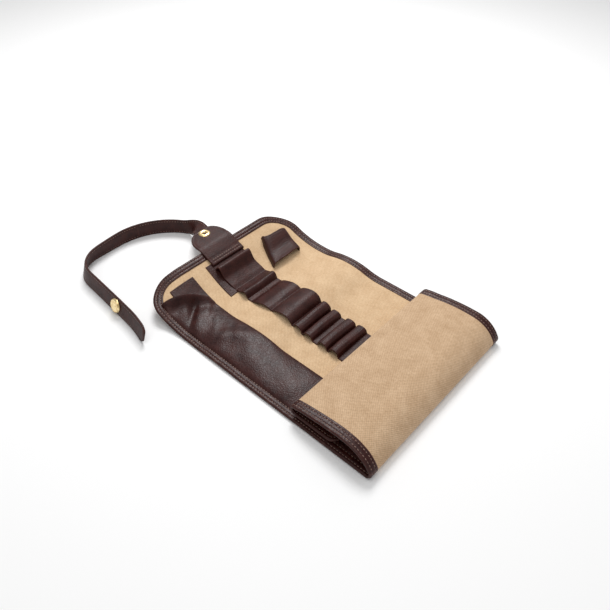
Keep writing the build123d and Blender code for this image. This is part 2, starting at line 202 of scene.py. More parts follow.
def lift(s, y):
    """How far the cloth stands above its plain profile: a dome over the hump and soft waves."""
    hump = np.sin(pi * np.clip((s - HUMP_START) / HUMP_LENGTH, 0, 1)) ** 2
    beyond = DOME_HEIGHT * (1 - np.clip((y - DOME_MIDDLE) / 90, 0, 1) ** 2)
    toward = DOME_HEIGHT - DOME_FALL * smooth((DOME_MIDDLE - y) / 112)
    dome = hump * np.where(y > DOME_MIDDLE, beyond, toward)
    near_end = smooth((34 - s) / 34)
    droop = near_end * (-6.0 * smooth((-y - 50) / 50) - 3.0 * smooth((y - 66) / 34))
    middle = 1 - smooth((np.abs(y) - 80) / 14)
    open_part = window(s, 20, 160, 25)
    waves = 0.45 * np.sin(0.085 * s + 1.6 * np.sin(0.045 * y)) * np.sin(0.062 * y + 0.7)
    waves += 0.22 * np.sin(0.19 * s - 0.11 * y) * np.sin(0.13 * y + 0.05 * s)
    top_part = window(s, 314, 388, 14)
    dimples = 0.55 * np.sin(0.055 * s + 0.043 * y + 0.6) * np.sin(0.034 * y - 0.03 * s)
    dimples += 0.3 * np.sin(0.11 * s - 0.083 * y) - 0.5 * smooth((np.abs(y - 3) - 60) / 40)
    return dome + droop + open_part * middle * waves + top_part * dimples


def surface(s, y, depth):
    """Points on the wrap, in millimetres, for lengths along, places across and depths."""
    s, y, depth = np.broadcast_arrays(np.asarray(s, float), np.asarray(y, float), np.asarray(depth, float))
    x, z, heading = wrap.at(s)
    shift = ROLL_SHIFT * smooth((s - ROLL_ARC) / 60)
    return np.stack(
        [x - depth * np.sin(heading), y + shift, z + depth * np.cos(heading) + lift(s, y)], axis=-1
    )


# ---------------------------------------------------------------- meshes
def make_object(name, vertices, faces, uvs, material, sharp):
    """A mesh object from millimetre points, with one flat-map place for each vertex.

    Edges that turn by more than the sharp angle, in degrees, are shaded as edges.
    """
    mesh = bpy.data.meshes.new(name)
    mesh.from_pydata([tuple(v) for v in np.asarray(vertices) * MM], [], [tuple(f) for f in faces])
    layer = mesh.uv_layers.new(name=FLAT_MAP)
    corners = np.empty(len(mesh.loops), np.int32)
    mesh.loops.foreach_get("vertex_index", corners)
    layer.data.foreach_set("uv", (np.asarray(uvs, float) * MM)[corners].astype(np.float32).ravel())
    mesh.materials.append(material)
    work = bmesh.new()
    work.from_mesh(mesh)
    bmesh.ops.recalc_face_normals(work, faces=work.faces)
    work.to_mesh(mesh)
    work.free()
    mesh.shade_smooth()
    mesh.set_sharp_from_angle(angle=radians(sharp))
    piece = bpy.data.objects.new(name, mesh)
    bpy.context.scene.collection.objects.link(piece)
    return piece


def solid_sheet(name, upper, lower, uv, material, sharp=42):
    """A closed sheet between two grids of points."""
    rows, columns = upper.shape[:2]
    vertices = np.concatenate([upper.reshape(-1, 3), lower.reshape(-1, 3)])
    uvs = np.concatenate([uv.reshape(-1, 2), uv.reshape(-1, 2)])
    below = rows * columns
    faces = []
    for i in range(rows - 1):
        for j in range(columns - 1):
            a = i * columns + j
            b = a + columns
            faces.append((a, b, b + 1, a + 1))
            faces.append((below + a, below + a + 1, below + b + 1, below + b))
    rim = list(range(columns))
    rim += [i * columns + columns - 1 for i in range(1, rows)]
    rim += [(rows - 1) * columns + j for j in range(columns - 2, -1, -1)]
    rim += [i * columns for i in range(rows - 2, 0, -1)]
    for a, b in zip(rim, rim[1:] + rim[:1]):
        faces.append((a, b, below + b, below + a))
    return make_object(name, vertices, faces, uvs, material, sharp)


def sweep(name, rings, uv, material, sharp=38):
    """A closed solid through rings of points, with a flat cap at each end."""
    count, size = rings.shape[:2]
    faces = []
    for i in range(count - 1):
        for j in range(size):
            a, b = i * size + j, i * size + (j + 1) % size
            faces.append((a, b, b + size, a + size))
    faces.append(tuple(range(size)))
    faces.append(tuple(range((count - 1) * size, count * size))[::-1])
    return make_object(name, rings.reshape(-1, 3), faces, uv.reshape(-1, 2), material, sharp)


def unit(vectors):
    """The same vectors, each with a length of 1."""
    return vectors / np.maximum(np.linalg.norm(vectors, axis=-1, keepdims=True), 1e-9)


def length_along(points):
    """The length along a line of points, at each of them."""
    return np.concatenate([[0], np.cumsum(np.linalg.norm(np.diff(points, axis=0), axis=1))])


# Stitches in millimetres. The width and height are halves, and the ends dip into the leather
STITCH_LENGTH = 2.2
STITCH_PITCH = 3.1
STITCH_WIDTH = 0.42
STITCH_HEIGHT = 0.34
STITCH_DIP = 0.12


def stitch_row(points, normals, parts):
    """Add stitches to a list along a line of points: each is a small tapered lozenge."""
    along = length_along(points)
    count = int(along[-1] // STITCH_PITCH)
    start = (along[-1] - count * STITCH_PITCH) / 2 + STITCH_PITCH / 2
    for k in range(count):
        middle = start + k * STITCH_PITCH
        ends = [middle + STITCH_LENGTH * share for share in (-0.5, -0.25, 0.25, 0.5)]
        places = np.stack([np.interp(ends, along, points[:, axis]) for axis in range(3)], axis=1)
        up = unit(np.array([np.interp(middle, along, normals[:, axis]) for axis in range(3)]))
        ahead = unit(places[3] - places[0])
        side = np.cross(up, ahead)
        ring = [side * STITCH_WIDTH, up * STITCH_HEIGHT, -side * STITCH_WIDTH, -up * STITCH_HEIGHT]
        vertices = [places[0] - up * STITCH_DIP]
        vertices += [places[1] + offset for offset in ring]
        vertices += [places[2] + offset for offset in ring]
        vertices.append(places[3] - up * STITCH_DIP)
        parts.append(vertices)


def stitch_object(name, parts, material):
    """One mesh from a list of stitches, each of ten vertices: an end, two rings of four, an end."""
    vertices, faces, uvs = [], [], []
    for index, part in enumerate(parts):
        base = len(vertices)
        vertices += part
        uvs += [(index * 3.0 + 0.3 * k, k) for k in range(10)]
        for k in range(4):
            n = (k + 1) % 4
            faces.append((base, base + 1 + n, base + 1 + k))
            faces.append((base + 1 + k, base + 1 + n, base + 5 + n, base + 5 + k))
            faces.append((base + 5 + k, base + 5 + n, base + 9))
    return make_object(name, vertices, faces, uvs, material, 80)


# Distances in from a cut edge at which a leather face has its grid lines
EDGE_PLACES = np.array([0.0, 0.12, 0.45, 0.95, 1.5, 2.1, 2.6, 3.2])


def edged(low, high, coarse=3.0):
    """Places from low to high, close together near both ends and coarse between them."""
    edge = EDGE_PLACES[-1]
    count = max(2, int((high - low - 2 * edge) / coarse) + 1)
    middle = np.linspace(low + edge, high - edge, count)[1:-1]
    return np.concatenate([low + EDGE_PLACES, middle, (high - EDGE_PLACES)[::-1]])


def rounding(distance, radius, groove_at, groove):
    """How far a leather face drops near its cut edge, with the line pressed beside the edge."""
    t = np.clip(1 - distance / radius, 0, 1)
    return radius * (1 - np.sqrt(1 - t * t)) + groove * np.exp(-(((distance - groove_at) / 0.4) ** 2))


# ---------------------------------------------------------------- materials
def add_node(tree, kind, inputs=None, **settings):
    """A new shader node, with values or links for its inputs."""
    node = tree.nodes.new(kind)
    for key, value in settings.items():
        setattr(node, key, value)
    for key, value in (inputs or {}).items():
        if isinstance(value, bpy.types.NodeSocket):
            tree.links.new(value, node.inputs[key])
        else:
            node.inputs[key].default_value = value
    return node


def start_material(name, roughness):
    """A new material with its shader, and the flat-map coordinate."""
    material = bpy.data.materials.new(name)
    material.use_nodes = True
    tree = material.node_tree
    shader = tree.nodes["Principled BSDF"]
    shader.inputs["Roughness"].default_value = roughness
    flat = add_node(tree, "ShaderNodeUVMap", uv_map=FLAT_MAP).outputs["UV"]
    return material, tree, shader, flat


def calculate(tree, operation, first, second=0.0):
    """A maths node's result."""
    node = tree.nodes.new("ShaderNodeMath")
    node.operation = operation
    for socket, value in zip(node.inputs, (first, second)):
        if isinstance(value, bpy.types.NodeSocket):
            tree.links.new(value, socket)
        else:
            socket.default_value = value
    return node.outputs[0]


def weighted(tree, first, first_share, second, second_share):
    """Two values added, each by its own share."""
    one = calculate(tree, "MULTIPLY", first, first_share)
    other = calculate(tree, "MULTIPLY", second, second_share)
    return calculate(tree, "ADD", one, other)


def noise(tree, vector, scale, detail=3.0):
    """Noise of about scale features for each metre."""
    return add_node(
        tree,
        "ShaderNodeTexNoise",
        {"Vector": vector, "Scale": scale, "Detail": detail, "Roughness": 0.55},
    ).outputs["Fac"]


def mix_colour(tree, factor, first, second, blend_type="MIX"):
    """Two colours mixed, or multiplied."""
    node = tree.nodes.new("ShaderNodeMix")
    node.data_type = "RGBA"
    node.blend_type = blend_type
    for index, value in ((0, factor), (6, first), (7, second)):
        if isinstance(value, bpy.types.NodeSocket):
            tree.links.new(value, node.inputs[index])
        else:
            node.inputs[index].default_value = value
    return node.outputs[2]


def between(tree, value, low, high, to_low=0.0, to_high=1.0):
    """A value carried from one range to another."""
    return add_node(
        tree,
        "ShaderNodeMapRange",
        {"Value": value, "From Min": low, "From Max": high, "To Min": to_low, "To Max": to_high},
    ).outputs["Result"]


def bump(tree, height, distance, strength, under=None):
    """A bumped normal, on top of another one if there is one."""
    inputs = {"Height": height, "Distance": distance, "Strength": strength}
    if under is not None:
        inputs["Normal"] = under
    return add_node(tree, "ShaderNodeBump", inputs).outputs["Normal"]


def srgb(red, green, blue):
    """A colour from its three display values, 0 to 255."""
    return tuple((c / 255) ** 2.2 for c in (red, green, blue)) + (1.0,)


def cloth_material(name, light, dark, pitch, relief):
    """Plain-woven cotton canvas: over-and-under threads, slubs, and soft mottling."""
    material, tree, shader, flat = start_material(name, 0.88)
    slub = noise(tree, flat, 900.0, 2.0)
    place = add_node(tree, "ShaderNodeSeparateXYZ", {"Vector": flat}).outputs
    along = calculate(tree, "MULTIPLY", place["X"], pi / pitch)
    across = calculate(tree, "MULTIPLY", place["Y"], pi / pitch)
    weave = calculate(tree, "MULTIPLY", calculate(tree, "SINE", along), calculate(tree, "SINE", across))
    threads = calculate(tree, "ADD", calculate(tree, "MULTIPLY", weave, 0.5), slub)
    mottle = noise(tree, flat, 70.0, 4.0)
    speckle = noise(tree, flat, 420.0, 2.0)
    tone = weighted(tree, mottle, 0.55, speckle, 0.45)
    colour = mix_colour(tree, between(tree, tone, 0.36, 0.64), dark, light)
    valley = between(tree, threads, 0.1, 0.9, 0.76, 1.08)
    colour = mix_colour(tree, 1.0, colour, valley, "MULTIPLY")
    tree.links.new(colour, shader.inputs["Base Color"])
    dimple = bump(tree, noise(tree, flat, 130.0, 3.0), 0.0009, 0.35)
    tree.links.new(bump(tree, threads, relief, 0.55, dimple), shader.inputs["Normal"])
    shader.inputs["Sheen Weight"].default_value = 0.12
    shader.inputs["Sheen Roughness"].default_value = 0.5
    shader.inputs["Specular IOR Level"].default_value = 0.25
    return material


def leather_material(name, dark, light, worn, gloss, grain=0.00022):
    """Smooth dark leather: pebbled grain, cloudy colour, and paler rubbed edges."""
    material, tree, shader, flat = start_material(name, gloss)
    cells = add_node(
        tree,
        "ShaderNodeTexVoronoi",
        {"Vector": flat, "Scale": 780.0, "Randomness": 1.0},
        feature="F1",
    ).outputs["Distance"]
    cloud = noise(tree, flat, 95.0, 4.0)
    fine = noise(tree, flat, 520.0, 3.0)
    tone = weighted(tree, cloud, 0.6, fine, 0.4)
    colour = mix_colour(tree, between(tree, tone, 0.36, 0.66), dark, light)
    edge = add_node(tree, "ShaderNodeNewGeometry").outputs["Pointiness"]
    rubbed = calculate(tree, "MULTIPLY", between(tree, edge, 0.52, 0.6), 0.3)
    colour = mix_colour(tree, rubbed, colour, worn)
    tree.links.new(colour, shader.inputs["Base Color"])
    tree.links.new(between(tree, fine, 0.3, 0.7, gloss - 0.07, gloss + 0.1), shader.inputs["Roughness"])
    crumple = bump(tree, noise(tree, flat, 160.0, 4.0), 0.0008, 0.3)
    tree.links.new(bump(tree, cells, grain, 0.6, crumple), shader.inputs["Normal"])
    shader.inputs["Specular IOR Level"].default_value = 0.25
    return material


def thread_material(name, dark, light):
    """Waxed thread: twisted strands with paler specks."""
    material, tree, shader, flat = start_material(name, 0.45)
    strands = add_node(
        tree, "ShaderNodeTexWave", {"Vector": flat, "Scale": 900.0, "Distortion": 2.0}
    ).outputs["Fac"]
    colour = mix_colour(tree, between(tree, noise(tree, flat, 300.0), 0.35, 0.65), dark, light)
    tree.links.new(colour, shader.inputs["Base Color"])
    tree.links.new(bump(tree, strands, 0.0001, 0.5), shader.inputs["Normal"])
    return material


def brass_material(name):
    """Polished brass with light tarnish and fine rubbing marks."""
    material, tree, shader, _ = start_material(name, 0.24)
    place = add_node(tree, "ShaderNodeTexCoord").outputs["Object"]
    tarnish = noise(tree, place, 380.0, 4.0)
    colour = mix_colour(tree, between(tree, tarnish, 0.4, 0.7), srgb(244, 222, 172), srgb(206, 168, 108))
    tree.links.new(colour, shader.inputs["Base Color"])
    tree.links.new(between(tree, tarnish, 0.3, 0.7, 0.18, 0.36), shader.inputs["Roughness"])
    marks = noise(tree, place, 2600.0, 2.0)
    tree.links.new(bump(tree, marks, 0.00003, 0.4), shader.inputs["Normal"])
    shader.inputs["Metallic"].default_value = 1.0
    return material


def tag_material(name):
    """Red woven ribbon with a fine rib."""
    material, tree, shader, flat = start_material(name, 0.75)
    ribs = add_node(
        tree, "ShaderNodeTexWave", {"Vector": flat, "Scale": 520.0, "Distortion": 0.4}
    ).outputs["Fac"]
    tone = noise(tree, flat, 600.0, 2.0)
    colour = mix_colour(tree, between(tree, tone, 0.35, 0.65), srgb(176, 26, 30), srgb(208, 44, 44))
    tree.links.new(colour, shader.inputs["Base Color"])
    tree.links.new(bump(tree, ribs, 0.00015, 0.6), shader.inputs["Normal"])
    shader.inputs["Sheen Weight"].default_value = 0.2
    return material


canvas = cloth_material("canvas", srgb(210, 178, 144), srgb(188, 155, 121), 0.0011, 0.00032)
lining = cloth_material("lining", srgb(222, 190, 152), srgb(204, 170, 132), 0.0010, 0.0002)
leather = leather_material("dark_leather", srgb(42, 17, 14), srgb(67, 34, 29), srgb(104, 68, 60), 0.46)
pocket_leather = leather_material(
    "pocket_leather", srgb(40, 16, 14), srgb(64, 33, 29), srgb(64, 33, 29), 0.38, 0.00024
)
binding_leather = leather_material(
    "binding_leather", srgb(42, 16, 13), srgb(64, 31, 27), srgb(124, 90, 80), 0.36
)
thread = thread_material("thread", srgb(80, 54, 46), srgb(150, 120, 106))
dark_thread = thread_material("dark_thread", srgb(34, 18, 16), srgb(84, 58, 50))
brass = brass_material("brass")
tag_red = tag_material("tag")

# ---------------------------------------------------------------- the wrap's cloth
# Each sheet spans one fold: its name, its ends, the fold, how far the bend spreads to each side,
# the bodies before and after the fold, and the CAD stretches that it stands for
Span = namedtuple("Span", "name low high fold spread before after stretches")
spans = [
    Span("flap_front", 0.0, FLAP_END, FLAP_FOLD, 6.0, "flap", "front", ["flap"]),
    Span("front_base", FLAP_END, FRONT_END, FRONT_FOLD, 7.0, "front", "base", ["front"]),
    Span("base_rear", FRONT_END, BASE_END, REAR_FOLD, 7.0, "base", "rear", ["base"]),
    Span("rear_roll", BASE_END, REAR_END, ROLL_FOLD, 7.0, "rear", "roll_base", ["rear"]),
    Span("roll_edge", REAR_END, EDGE_END, EDGE_CUT, 4.5, "roll_base", "roll_edge", ["roll_base"]),
    Span("roll_top", EDGE_END, TOP_END, TOP_CUT, 6.0, "roll_edge", "roll_top", ["roll_edge"]),
    Span("roll_fold", TOP_END, FOLD_END, FOLD_CUT, 4.0, "roll_top", "roll_fold", ["roll_top"]),
    Span("tail", FOLD_END, WRAP_LENGTH, TAIL_CUT, 4.0, "roll_fold", "tail", ["roll_fold", "tail"]),
]
CLOTH_STEP = 2.4


def bend(piece):
    """Bake a piece's placement into its mesh."""
    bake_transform(piece)


def finish_leather(piece, nodes):
    """Hide the CAD nodes that a leather piece replaces, and bake its placement into its mesh."""
    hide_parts(*nodes)
    bend(piece)


def finish_stitches(name, parts, material):
    """Make one piece of a list of stitches, and bake its placement into its mesh."""
    stitches = stitch_object(name, parts, material)
    bend(stitches)


def cloth_rows(low, high):
    """Lengths for a cloth grid, closer together round the roll's turns."""
    places = np.arange(0.0, WRAP_LENGTH, CLOTH_STEP)
    places = np.concatenate([places, np.arange(ROLL_ARC - 2, TOP_CUT + 4, 0.8)])
    places = np.concatenate([places, np.arange(FOLD_CUT - 5, TAIL_CUT + 6, 0.7)])
    inside = places[(places > low + 0.5) & (places < high - 0.5)]
    return np.unique(np.concatenate([[low], np.sort(inside), [high]]))


def build_cloth(span, kind, depths, material):
    """A stretch of the canvas or lining, tucked a little way under the binding."""
    radius = CORNER_RADIUS - BINDING_WIDTH + TUCK
    rows = cloth_rows(span.low, span.high)
    if span.name == "flap_front":
        round_part = CORNER_RADIUS - radius * np.cos(np.linspace(0, pi / 2, 16))
        rows = np.concatenate([round_part, rows[rows > CORNER_RADIUS + 0.6]])
    if span.name == "tail":
        last = WRAP_LENGTH - BINDING_WIDTH + TUCK
        rows = np.concatenate([rows[rows < last - 0.5], [last]])
    reach = np.sqrt(np.maximum(radius**2 - np.maximum(CORNER_RADIUS - rows, 0) ** 2, 0))
    half = HALF_WIDTH - CORNER_RADIUS + reach
    share = np.linspace(-1, 1, 61)
    s = np.repeat(rows[:, None], len(share), 1)
    y = half[:, None] * share[None, :]
    uv = np.stack([s, y], axis=-1)
    piece = solid_sheet(
        f"{kind}_{span.name}", surface(s, y, depths[1]), surface(s, y, depths[0]), uv, material, sharp=60
    )
    node = "outer" if kind == "outer_cloth" else "lining"
    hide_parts(*[f"{node}_{stretch}" for stretch in span.stretches])
    bend(piece)


# Binding section: distance in from the wrap's edge, then depth. It goes round from the edge along
# the outer face, which is pressed in at both stitch rows, and back along the lining's face
binding_section = np.array(
    [
        (0.0, 1.45), (0.18, 0.85), (0.7, 0.35), (1.6, 0.08), (2.6, 0.16), (3.2, 0.34), (3.8, 0.14),
        (5.3, 0.0), (6.8, 0.12), (7.4, 0.34), (8.0, 0.14), (9.3, 0.12), (9.85, 0.3), (10.0, 0.6),
        (10.0, 2.2), (9.85, 2.6), (9.3, 2.82), (8.0, 2.86), (7.4, 2.64), (6.8, 2.88), (5.3, 3.0),
        (3.8, 2.86), (3.2, 2.62), (2.6, 2.84), (1.6, 2.86), (0.7, 2.55), (0.18, 2.05),
    ]
)
# Depths of the stitches on the binding's two faces
LINING_FACE_STITCHES = 2.72
OUTER_FACE_STITCHES = 0.26


def corner_outline(end_s, inward, radius, side_s):
    """The wrap's edge round one end: lengths, places across, and the way in from the edge."""
    centre_s = end_s + inward * radius
    centre_y = HALF_WIDTH - radius
    straight = np.linspace(side_s, centre_s, max(3, int(abs(side_s - centre_s) / CLOTH_STEP)))[:-1]
    angles = np.linspace(0, pi / 2, max(7, int(radius / 1.5)))
    points = [(s, HALF_WIDTH, 0.0, -1.0) for s in straight]
    points += [
        (centre_s - inward * radius * sin(a), centre_y + radius * cos(a), inward * sin(a), -cos(a))
        for a in angles
    ]
    across = np.linspace(centre_y, 0, int(centre_y / CLOTH_STEP))[1:]
    points += [(end_s, y, inward, 0.0) for y in across]
    mirrored = [(s, -y, in_s, -in_y) for s, y, in_s, in_y in points[-2::-1]]
    return np.array(points + mirrored)


def binding_outlines(span):
    """The edges that a stretch of binding follows: round an end, or one along each side."""
    if span.name == "flap_front":
        return [("", corner_outline(0.0, 1.0, CORNER_RADIUS, span.high))]
    if span.name == "tail":
        return [("", corner_outline(WRAP_LENGTH, -1.0, TAIL_CORNER, span.low))]
    rows = cloth_rows(span.low, span.high)
    outlines = []
    for suffix, edge in (("_right", -HALF_WIDTH), ("_left", HALF_WIDTH)):
        outlines.append((suffix, np.array([(s, edge, 0.0, -np.sign(edge)) for s in rows])))
    return outlines


def build_binding(span):
    """The binding along a stretch, with two stitch rows on each face."""
    around = length_along(binding_section)
    for suffix, outline in binding_outlines(span):
        s = outline[:, 0:1] + outline[:, 2:3] * binding_section[None, :, 0]
        y = outline[:, 1:2] + outline[:, 3:4] * binding_section[None, :, 0]
        rings = surface(s, y, binding_section[None, :, 1])
        along = length_along(outline[:, :2])
        uv = np.stack(np.broadcast_arrays(along[:, None], around[None, :]), axis=-1)
        piece = sweep(f"edge_binding_{span.name}{suffix}", rings, uv, binding_leather)
        finish_leather(piece, [f"binding_{stretch}" for stretch in span.stretches])

        parts = []
        for row in STITCH_ROWS:
            at_s = outline[:, 0] + outline[:, 2] * row
            at_y = outline[:, 1] + outline[:, 3] * row
            for depth, way in ((LINING_FACE_STITCHES, 1.0), (OUTER_FACE_STITCHES, -1.0)):
                points = surface(at_s, at_y, depth)
                normals = (surface(at_s, at_y, depth + 1) - points) * way
                stitch_row(points, normals, parts)
        finish_stitches(f"edge_stitches_{span.name}{suffix}", parts, thread)


for span in spans:
    build_cloth(span, "outer_cloth", CANVAS_DEPTHS, canvas)
    build_cloth(span, "lining_cloth", LINING_DEPTHS, lining)
    build_binding(span)


# ---------------------------------------------------------------- leather on the lining
NARROW_START = 139.44
REAR_NARROW_START = REAR_FOLD + 3
LOOP_WIDTH = 12.9
LOOP_PITCH = 13.8
LOOP_HEIGHT = 5.8
# How a loop rises along its width: places from 0 to 1, and shares of its height
TUBE = ((0, 0), (0.04, 0.5), (0.2, 0.86), (0.45, 1), (0.72, 0.95), (0.92, 0.62), (1, 0))
UNDER_TAB = ((0, 0), (0.05, 0.95), (0.16, 1), (0.3, 0.62), (0.46, 0.2), (0.85, 0.14), (1, 0))
STEEP_END = ((0, 0), (0.1, 0.14), (0.36, 0.42), (0.6, 0.93), (0.74, 1), (0.88, 0.72), (1, 0))
CROWNED = ((0, 0), (0.1, 0.3), (0.34, 0.68), (0.56, 0.97), (0.72, 1), (0.88, 0.74), (1, 0))
LOW = ((0, 0), (0.15, 0.55), (0.4, 0.85), (0.65, 1), (0.88, 0.6), (1, 0))
# Loops of the strip: start, end, height and rise
loops = [
    (24.4, 57.0, 8.6, UNDER_TAB),
    (57.8, 76.5, 6.2, STEEP_END),
    (82.6, 110.6, 3.6, LOW),
    (111.6, 138.6, 6.3, CROWNED),
]
for first in (NARROW_START, REAR_NARROW_START):
    for start in (first, first + LOOP_PITCH):
        loops.append((start, start + LOOP_WIDTH, LOOP_HEIGHT, TUBE))


def soften(values, rounds):
    """Smooth a row of values or points in place, apart from its two ends."""
    for _ in range(rounds):
        values[1:-1] = 0.25 * values[:-2] + 0.5 * values[1:-1] + 0.25 * values[2:]


def risen(t, rise):
    """A loop's smooth rise through its named shares."""
    even = np.linspace(0, 1, 101)
    shares = np.interp(even, *np.array(rise).T)
    soften(shares, 10)
    return np.interp(t, even, shares)


FLAT_STEP = 2.0
SEAM_GAP = 0.4


def strip_profile(low, high):
    """The strip's upper face from low to high: lengths, and how high it stands at each."""
    s_places, heights = [], []
    s = low
    for start, end, height, rise in loops:
        if end < low or start > high:
            continue
        flat = np.arange(s, start - SEAM_GAP, FLAT_STEP)
        s_places += list(flat)
        heights += [0.0] * len(flat)
        t = (1 - np.cos(np.linspace(0, pi, 25))) / 2
        s_places += list(start + (end - start) * t)
        heights += list(height * risen(t, rise))
        s = end + SEAM_GAP
    flat = np.arange(s, high + 0.01, FLAT_STEP)
    s_places += list(flat)
    heights += [0.0] * len(flat)
    if high - s_places[-1] > 0.1:
        s_places.append(high)
        heights.append(0.0)
    return np.array(s_places), np.array(heights)


def build_strip(name, low, high, nodes):
    """A stretch of the looped strip as one sheet of leather."""
    s_line, height = strip_profile(low, high)
    y_line = edged(STRIP_LOW, STRIP_HIGH, coarse=2.6)
    s, y = np.meshgrid(s_line, y_line, indexing="ij")
    sag = 1 + 0.07 * np.sin(0.12 * y + 0.05 * s) - 0.1 * np.cos(0.09 * (y - 4) + 0.02 * s)
    top = STRIP_FOOT + LEATHER + height[:, None] * sag
    slope = np.gradient(top, axis=0) / np.gradient(s, axis=0)
    normal_s = -slope / np.sqrt(1 + slope**2)
    normal_d = 1 / np.sqrt(1 + slope**2)
    near = np.minimum(y - STRIP_LOW, STRIP_HIGH - y)
    drop = rounding(near, 0.55, 1.8, 0.12)
    upper = surface(s - normal_s * drop, y, top - normal_d * drop)
    under_depth = np.maximum(top - normal_d * LEATHER, STRIP_FOOT)
    lower = surface(s - normal_s * LEATHER, y, under_depth)
    length = length_along(np.stack([s_line, height], axis=1))
    uv = np.stack([np.repeat(length[:, None], len(y_line), 1) + low, y], axis=-1)
    finish_leather(solid_sheet(name, upper, lower, uv, leather), nodes)


STRIP_START, STRIP_SEAM, STRIP_END = 22.6, 80.5, 262.0
base_loops = ["wide_loop_3", "wide_loop_4", "pencil_loop_1", "pencil_loop_2", "pencil_loop_3"]
build_strip("loop_strip_front", STRIP_START, STRIP_SEAM, ["wide_loop_1", "wide_loop_2"])
build_strip("loop_strip_base", STRIP_SEAM, BASE_END, base_loops)
build_strip("loop_strip_rear", BASE_END, STRIP_END, ["pencil_loop_4", "strip_tail"])


def flat_leather(name, corners, thickness, rows, columns):
    """A flat four-cornered leather piece on the wrap: its corners as lengths and places across.

    The rows and columns are its rough size in millimetres along and across the wrap.
    """
    u = edged(0, rows) / rows
    v = edged(0, columns) / columns
    uu, vv = np.meshgrid(u, v, indexing="ij")
    corner = np.array(corners, float)
    place = (
        corner[0] * ((1 - uu) * (1 - vv))[..., None]
        + corner[1] * (uu * (1 - vv))[..., None]
        + corner[2] * (uu * vv)[..., None]
        + corner[3] * ((1 - uu) * vv)[..., None]
    )
    near = np.minimum(np.minimum(uu, 1 - uu) * rows, np.minimum(vv, 1 - vv) * columns)
    s, y = place[..., 0], place[..., 1]
    foot = STRIP_FOOT - 0.02
    upper = surface(s, y, foot + thickness - rounding(near, 0.5, 1.9, 0.1))
    return solid_sheet(name, upper, surface(s, y, foot), place, leather)


def stitch_line(first, second, depth, parts):
    """Stitches on a face of the wrap between two places."""
    share = np.linspace(0, 1, 40)
    s = first[0] + (second[0] - first[0]) * share
    y = first[1] + (second[1] - first[1]) * share
    points = surface(s, y, depth)
    stitch_row(points, surface(s, y, depth + 1) - points, parts)


def build_anchor_patch():
    """The anchor patch that shows beside the strip, with two stitch rows along its -Y edge."""
    corners = [(16.5, -26.5), (61, -29.5), (61, 24), (16.5, 24)]
    patch = flat_leather("anchor_patch_leather", corners, 0.95, 44, 52)
    finish_leather(patch, ["anchor_patch"])
    parts = []
    for inset in (2.0, 5.0):
        stitch_line((18, -26.5 + inset), (60, -29.5 + inset), STRIP_FOOT + 1.0, parts)
    finish_stitches("anchor_stitches", parts, dark_thread)


def build_tongue():
    """The tongue tucked under the pocket's mouth, with its stitch row."""
    corners = [(17.5, -75), (50, -80), (56, -46.6), (17.5, -45)]
    tongue = flat_leather("tongue_leather", corners, 1.0, 33, 29)
    finish_leather(tongue, ["tongue"])
    parts = []
    stitch_line((20.3, -73.5), (20.3, -47), STRIP_FOOT + 1.05, parts)
    finish_stitches("tongue_stitches", parts, dark_thread)


def build_bartacks(name, lengths):
    """Bartacks on the strip's seams: two short stitch lines side by side at each length."""
    parts = []
    for s in lengths:
        for shift in (-0.35, 0.35):
            stitch_line((s + shift, -3), (s + shift, 6.5), STRIP_FOOT + LEATHER + 0.1, parts)
    finish_stitches(name, parts, dark_thread)


build_anchor_patch()
build_tongue()
build_bartacks("bartacks_front", [79.5])
build_bartacks("bartacks_base", [82.0, 111.1])


def ridge(offset, width):
    """A smooth ridge, 1 high, over offsets from its crest."""
    return np.exp(-((offset / width) ** 2))


def pocket_height(s, y, mouth):
    """How far the pocket's upper face stands above the lining."""
    across = np.clip((y - POCKET_LOW) / (POCKET_HIGH - POCKET_LOW), 0, 1)
    crown = np.sin(pi * across) ** 0.6
    back = s - mouth
    aside = y + 70
    gape = 8.6 * ridge(back, 8.0)
    body = 3.4 * smooth(back / 30) * (1 - 0.55 * smooth((s - 190) / 25))
    ridges = 1.6 * ridge(s - 62 + 0.55 * aside, 6.0) + 0.9 * ridge(s - 104 - 0.75 * aside, 9.0)
    fold = -2.2 * ridge(s - 50 + 0.8 * aside, 4.5) * smooth(back / 12)
    wrinkles = 0.6 * np.sin(0.42 * s + 0.2 * y + 1.5 * np.sin(0.1 * y))
    creases = wrinkles * np.exp(-back / 45) * smooth(back / 14)
    waves = 0.5 * np.sin(0.11 * s + 0.06 * y) * np.sin(0.14 * y + 0.02 * s)
    open_part = 1 - smooth((s - 188) / 14)
    return crown * (gape + body + open_part * (ridges + fold + creases + waves))


# The mouth runs back from its start at the pocket's outer side to its end at the inner one
POCKET_START = 25.0
MOUTH_DEPTH = 24.0
POCKET_END = 288.0


def build_pocket(name, low, high, nodes):
    """A stretch of the pocket's leather, whose first stretch starts at the arched mouth."""
    y_line = np.linspace(POCKET_LOW, POCKET_HIGH, 36)
    across = (y_line - POCKET_LOW) / (POCKET_HIGH - POCKET_LOW)
    mouth = POCKET_START + MOUTH_DEPTH * across**1.7
    start = mouth if low == POCKET_START else np.full_like(mouth, low)
    t = np.linspace(0, 1, max(12, int((high - low) / 1.6)))[:, None]
    s = start[None, :] + (high - start[None, :]) * t
    y = np.repeat(y_line[None, :], len(t), 0)
    height = pocket_height(s, y, mouth[None, :])
    upper = surface(s, y, STRIP_FOOT + LEATHER + height)
    lower = surface(s, y, STRIP_FOOT + height * 0.97)
    piece = solid_sheet(name, upper, lower, np.stack([s, y], axis=-1), pocket_leather, sharp=55)
    finish_leather(piece, nodes)


build_pocket("pocket_front", POCKET_START, FRONT_END, ["pocket_mouth"])
build_pocket("pocket_middle", FRONT_END, BASE_END, ["pocket_base"])
build_pocket("pocket_back", BASE_END, POCKET_END, ["pocket_rear", "pocket_end"])

